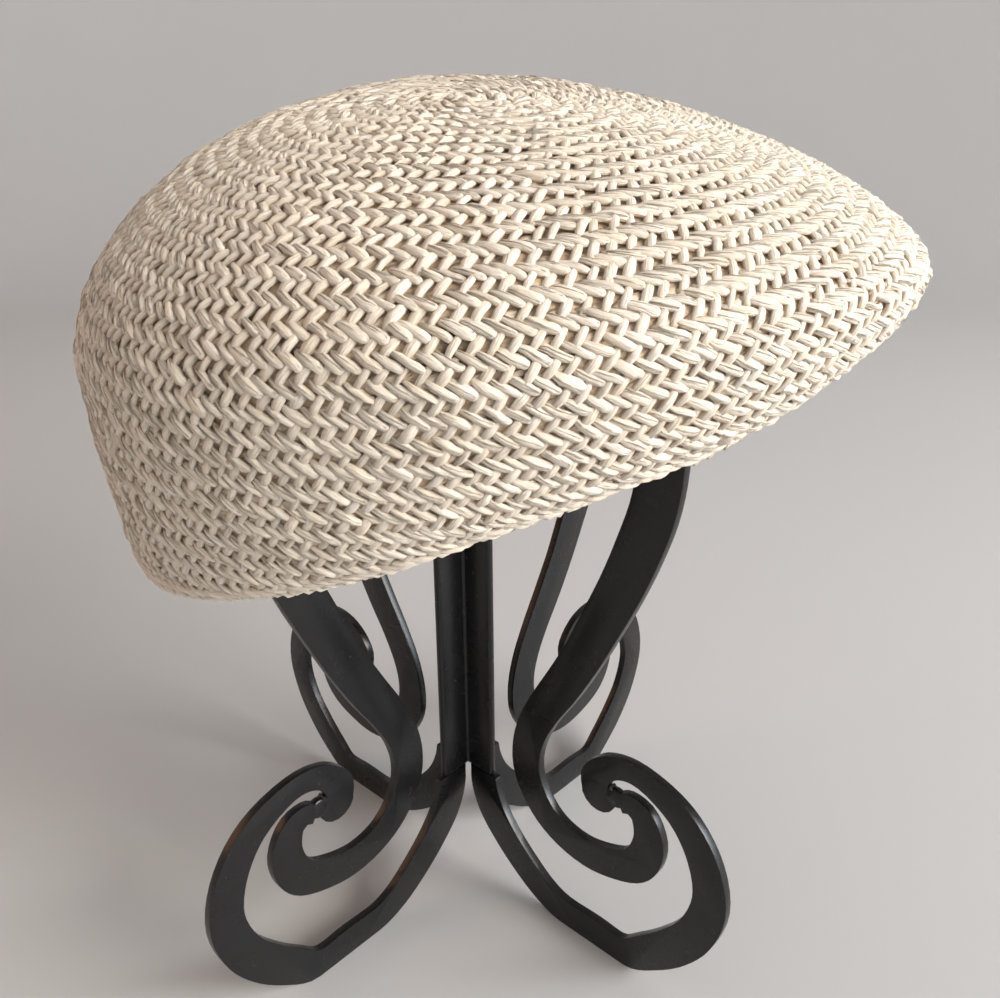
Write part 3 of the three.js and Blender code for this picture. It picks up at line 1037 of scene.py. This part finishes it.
# %% [markdown]
# ## The back of the weave
# Through the small gaps one sees more straw, not daylight. A thin sheet just
# behind the strands stands for it. It starts as a flat grid whose two
# directions are the way round and the way down, is wrapped on to the cap and
# gets a little thickness. It is painted the tan of deep straw as painted shade,
# and at the open places it is painted nearly black, as painted shade for the
# dark inside of the cap.

# %% Helpers for sheets
GRAIN_AROUND = 25.0
GRAIN_DOWN = 0.9


def wrapped_grid(surface, steps, half_angle, shares):
    """A flat grid, and for each of its vertices the mm down and the angle."""
    bm = bmesh.new()
    bmesh.ops.create_grid(bm, x_segments=steps[0], y_segments=steps[1], size=0.5)
    flat = np.array([v.co for v in bm.verts])
    angle = flat[:, 0] * 2 * half_angle
    share = shares[0] + (flat[:, 1] + 0.5) * (shares[1] - shares[0])
    return bm, share * surface.reach_at(angle), angle


def wrap(bm, surface, down, angle, out):
    """Move the grid on to the surface and give it the grain of straw."""
    places = surface.at(down, angle, out)
    grain = np.stack([angle * GRAIN_AROUND, down * GRAIN_DOWN, 0 * down], -1)
    layer = bm.verts.layers.float_vector.new("grain")
    for vertex, place, value in zip(bm.verts, places, grain):
        vertex.co = place
        vertex[layer] = value


def sheet_piece(name, bm, tone, thickness, offset):
    """A piece from a wrapped grid, with its thickness as a modifier."""
    bmesh.ops.recalc_face_normals(bm, faces=bm.faces)
    mesh = bpy.data.meshes.new(name)
    bm.to_mesh(mesh)
    bm.free()
    mesh.shade_smooth()
    add_attribute(mesh, "tone", "FLOAT", "value", np.full(len(mesh.vertices), tone))
    piece = new_piece(name, mesh)
    wall = piece.modifiers.new("wall", "SOLIDIFY")
    wall.thickness = thickness * MM
    wall.offset = offset
    return piece


print("grain of sheets:", GRAIN_AROUND, "per radian,", GRAIN_DOWN, "per mm")

# %% Wrap the backing
BACKING_OUT = -1.95
BACKING_THICKNESS = 0.3
BACKING_STEPS = (280, 70)
BACKING_SHARES = (0.02, 0.985)
BACKING_TONE = 0.3
# Painted shade: a depth near 1 gives the backing the tan of deep straw.
BACKING_DEPTH = 0.95


def make_backing():
    """A sheet all the way round behind the strands, painted nearly black as painted shade at the
    open places.
    """
    bm, down, angle = wrapped_grid(cap, BACKING_STEPS, math.pi, BACKING_SHARES)
    wrap(bm, cap, down, angle, BACKING_OUT + unevenness(down, angle))
    bmesh.ops.remove_doubles(bm, verts=bm.verts, dist=0.02 * MM)
    piece = sheet_piece("weave_backing", bm, BACKING_TONE, BACKING_THICKNESS, -1)
    places = np.array([v.co for v in piece.data.vertices]) / MM
    # Painted shade: near the open places the depth goes above 1, so the straw paints the backing
    # nearly black.
    shaded = BACKING_DEPTH + np.exp(-((spot_distance(places) / OPEN_SHADE_REACH) ** 2))
    add_attribute(piece.data, "depth", "FLOAT", "value", shaded)
    finish_straw(piece, "crown")


make_backing()

# %% [markdown]
# ## The rolled edge
# The edge is turned and bound with straw that winds round it like a rope, and
# above it one last row of strands follows the edge and hides the cut ends of
# the weave. The rope follows the cut edge of the wall all the way round, also
# along the outer side of the peak. Two knots show where the peak is sewn on.

# %% The line of the edge
ROLL_RADIUS = 2.2
ROLL_GAP = 0.35
ROPE_MIDDLE = 1.45
ROPE_SINK = 0.6
ROPE_SIDES = 72


def edge_tube(radius):
    """A tube round the edge as rings of points. Ring 0 is its inner side."""
    down = unit(cap_rings[-1] - cap_rings[-4])
    outward = outward_of(cap_rings)[-1]
    middle = cap_rings[-1] - outward * WALL / 2 + down * (ROLL_RADIUS + ROLL_GAP - ROPE_SINK)
    turns = np.linspace(-math.pi, math.pi, ROPE_SIDES + 1)[:, None, None]
    return middle + radius * (np.cos(turns) * outward + np.sin(turns) * down)


roll = Surface(edge_tube(ROPE_MIDDLE))
roll_round = 2 * math.pi * ROPE_MIDDLE
print("edge length", round(roll.lengths[0, -1]), "mm")

# %% Bind the edge
# Columns as in the strand tables. Down is now the way round the rope.
ROPE_STRAND = np.array([
    (-4.2, roll_round * 0.14, -0.35, 0.45, 0.30),
    (-3.4, roll_round * 0.24, 0.05, 0.85, 0.55),
    (-2.0, roll_round * 0.37, 0.20, 1.05, 0.68),
    (-0.4, roll_round * 0.50, 0.25, 1.10, 0.74),
    (1.2, roll_round * 0.63, 0.20, 1.05, 0.70),
    (2.7, roll_round * 0.76, 0.10, 0.95, 0.60),
    (3.7, roll_round * 0.87, -0.10, 0.70, 0.45),
    (4.3, roll_round * 0.94, -0.40, 0.35, 0.25),
])
EDGE_STRAND = np.array([
    (-7.4, -2.7, -1.50, 0.45, 0.40),
    (-6.3, -2.35, -0.85, 0.80, 0.62),
    (-4.6, -1.75, -0.48, 1.00, 0.80),
    (-2.8, -1.10, -0.35, 1.06, 0.86),
    (-1.1, -0.45, -0.38, 1.02, 0.84),
    (0.2, 0.05, -0.60, 0.85, 0.70),
    (0.9, 0.30, -0.95, 0.50, 0.45),
    (1.2, 0.45, -1.30, 0.22, 0.20),
])
ROPE_SPACING = 3.4
ROPE_WOBBLE = 1.2
EDGE_SPACING = 3.87
EDGE_WOBBLE = 1.3
EDGE_INSET = 1.9
KNOT_PIXELS = [(672, 462), (878, 348)]
KNOT_REACH = 6.0
KNOT_GROWTH = 0.45


def knot_size(points):
    """How much thicker the binding is at each point: 1 away from the knots."""
    gap = np.linalg.norm(points[:, None] - cap_spots(KNOT_PIXELS)[None], axis=-1).min(axis=1)
    return 1 + KNOT_GROWTH * np.exp(-((gap / KNOT_REACH) ** 2))


def bind_edge():
    """Strands wound round the rope, thicker at the knots."""
    rng = np.random.default_rng(31)
    angles = row_places(roll, 0.0, ROPE_SPACING, 0.3)
    rows = hand_made(ROPE_STRAND, len(angles), rng, ROPE_WOBBLE)
    half_way = np.full(len(angles), roll_round / 2)
    grown = knot_size(roll.at(half_way, angles, 0 * angles) / MM)[:, None]
    rows[:, :, WIDTH:] *= grown[..., None]
    piece = lay_strands("edge_binding", roll, np.zeros_like, angles, rows, long_template, rng)
    finish_straw(piece, "edge_roll")


def edge_row():
    """The last row, which keeps its distance from the edge."""
    rng = np.random.default_rng(32)
    angles = row_places(cap, cap.reach.max(), EDGE_SPACING, 0.6)
    rows = hand_made(EDGE_STRAND, len(angles), rng, EDGE_WOBBLE)

    def row_down(angle):
        return cap.reach_at(angle) - EDGE_INSET

    piece = lay_strands("edge_row", cap, row_down, angles, rows, long_template, rng)
    finish_straw(piece, "edge_roll")


bind_edge()
edge_row()

# %% [markdown]
# ## The peak
# A newsboy cap's peak is short, and here the crown is pulled forward over it,
# so it shows only from below. It is a thin crescent board covered on both
# sides with the same weave, in rows that follow its outer edge.

# %% The two faces of the peak
PEAK_DEPTH = 34.0
PEAK_CORNER_DEPTH = 7.0
PEAK_ROUNDNESS = 0.8
PEAK_DROP = 0.3
PEAK_THICKNESS = 2.6
PEAK_HALF_ANGLE = math.radians(70)
PEAK_STEPS = 60


def peak_rings(lower):
    """Rings of one face of the peak, from its outer edge inwards, in mm."""
    skin = cap_points(np.array([[float(LAST_RING)]]), ANGLES[None, :])[0]
    behind = skin - outward_of(upright_rings)[-1] * WALL
    inward = unit(-skin * np.array([1, 1, 0]))
    share = np.maximum(np.cos(np.clip(ANGLES / PEAK_HALF_ANGLE, -1, 1) * math.pi / 2), 0)
    depth = PEAK_CORNER_DEPTH + (PEAK_DEPTH - PEAK_CORNER_DEPTH) * share ** PEAK_ROUNDNESS
    outer = skin.copy()
    outer[:, 2] = np.minimum(skin[:, 2], behind[:, 2]) - ROLL_GAP - lower
    way = inward - np.array([0, 0, PEAK_DROP])
    steps = np.linspace(0, 1, PEAK_STEPS)[:, None, None]
    return seated(outer[None] + steps * depth[None, :, None] * way[None])


peak_under = Surface(peak_rings(PEAK_THICKNESS))
peak_over = Surface(peak_rings(0.0), flip=True)
print("peak depth", round(peak_under.reach[AROUND_STEPS // 2], 1), "mm")

# %% Weave the peak
PEAK_PITCH = 6.2
PEAK_START = 4.8
PEAK_MARGIN = 1.5
PEAK_WOBBLE = 0.8
PEAK_PLACES_SEED = 40
PEAK_LIFT = np.array([0, 0, 0.15, 0, 0])  # columns as in the strand tables


def peak_places(surface):
    """Mm in from the outer edge, and angle, of every strand of one face."""
    rng = np.random.default_rng(PEAK_PLACES_SEED)
    downs, angles = [], []
    for down in np.arange(PEAK_START, surface.reach.max(), PEAK_PITCH):
        around = row_places(surface, down, STRAND_SPACING, rng.uniform())
        inside = down + PEAK_MARGIN < surface.reach_at(around)
        inside &= np.abs(around) < PEAK_HALF_ANGLE
        downs.append(np.full(inside.sum(), down))
        angles.append(around[inside])
    return np.concatenate(downs), np.concatenate(angles)


def weave_peak(name, surface, table, template, seed):
    rng = np.random.default_rng(seed)
    downs, angles = peak_places(surface)
    rows = hand_made(table + PEAK_LIFT, len(downs), rng, PEAK_WOBBLE)
    piece = lay_strands(name, surface, level_rows(downs), angles, rows, template, rng)
    finish_straw(piece, "peak")


weave_peak("peak_under_long", peak_under, LONG_STRAND, long_template, 41)
weave_peak("peak_under_short", peak_under, SHORT_STRAND, short_template, 42)
weave_peak("peak_over_long", peak_over, LONG_STRAND, long_template, 43)
weave_peak("peak_over_short", peak_over, SHORT_STRAND, short_template, 44)

# %% The board inside the peak
BOARD_STEPS = (120, 8)
BOARD_THICKNESS = 1.0
BOARD_SHARES = (0.02, 0.98)
BOARD_TONE = 0.4
# Painted shade: this depth gives the board the tan of deep straw.
BOARD_DEPTH = 0.8


def make_board():
    """A sheet in the middle of the peak, between its two woven faces."""
    bm, down, angle = wrapped_grid(peak_under, BOARD_STEPS, PEAK_HALF_ANGLE, BOARD_SHARES)
    wrap(bm, peak_under, down, angle, np.full(len(down), -PEAK_THICKNESS / 2))
    piece = sheet_piece("peak_board", bm, BOARD_TONE, BOARD_THICKNESS, 0)
    add_attribute(piece.data, "depth", "FLOAT", "value", np.full(len(down), BOARD_DEPTH))
    finish_straw(piece, "peak")


make_board()

# %% [markdown]
# ## Loose fibres
# Cut straw frays. Hair-thin fibres stand off the edge all round, and a few
# off the crown. Each is a bent tube with three sides.

# %% Grow the fibres
EDGE_FIBRES = 420
CROWN_FIBRES = 260
FIBRE_HALF_WIDTH = 0.045
FIBRE_STATIONS = 5
FIBRE_LENGTHS = (2.0, 5.0)
FIBRE_BEND = 1.4
FIBRE_ROOT = -0.6
EDGE_FIBRE_HEIGHT = 2.4
CROWN_FIBRE_HEIGHT = 1.7
fibre_template = Template(FIBRE_STATIONS, 3)


def fibre_rows(count, rng, height):
    """Tables of thin curves that leave the surface and bend over."""
    rise = np.linspace(0, 1, FIBRE_STATIONS)[None]
    length = rng.uniform(*FIBRE_LENGTHS, (count, 1))
    turn = rng.uniform(0, 2 * math.pi, (count, 1))
    bend = rng.uniform(-FIBRE_BEND, FIBRE_BEND, (count, 1))
    rows = np.empty((count, FIBRE_STATIONS, THICKNESS + 1))
    rows[:, :, ALONG] = length * rise * np.cos(turn + bend * rise)
    rows[:, :, LOWER] = length * rise * np.sin(turn + bend * rise)
    rows[:, :, OUT] = FIBRE_ROOT + rng.uniform(0.3, 1.0, (count, 1)) * height * rise**0.8
    rows[:, :, WIDTH:] = FIBRE_HALF_WIDTH * (1.15 - rise[..., None])
    return rows


def grow_fibres(name, surface, downs, angles, seed, height):
    """Fibres that start at these places and stand up to so many mm off."""
    rng = np.random.default_rng(seed)
    rows = fibre_rows(len(angles), rng, height)
    piece = lay_strands(name, surface, level_rows(downs), angles, rows, fibre_template, rng)
    finish_straw(piece, "crown")


fibre_rng = np.random.default_rng(51)
edge_angles = fibre_rng.uniform(-math.pi, math.pi, EDGE_FIBRES)
edge_downs = fibre_rng.uniform(0.35, 0.8, EDGE_FIBRES) * roll_round
grow_fibres("edge_fibres", roll, edge_downs, edge_angles, 52, EDGE_FIBRE_HEIGHT)
some = fibre_rng.choice(len(crown_down), CROWN_FIBRES, replace=False)
grow_fibres("crown_fibres", cap, crown_down[some], crown_angle[some], 53, CROWN_FIBRE_HEIGHT)
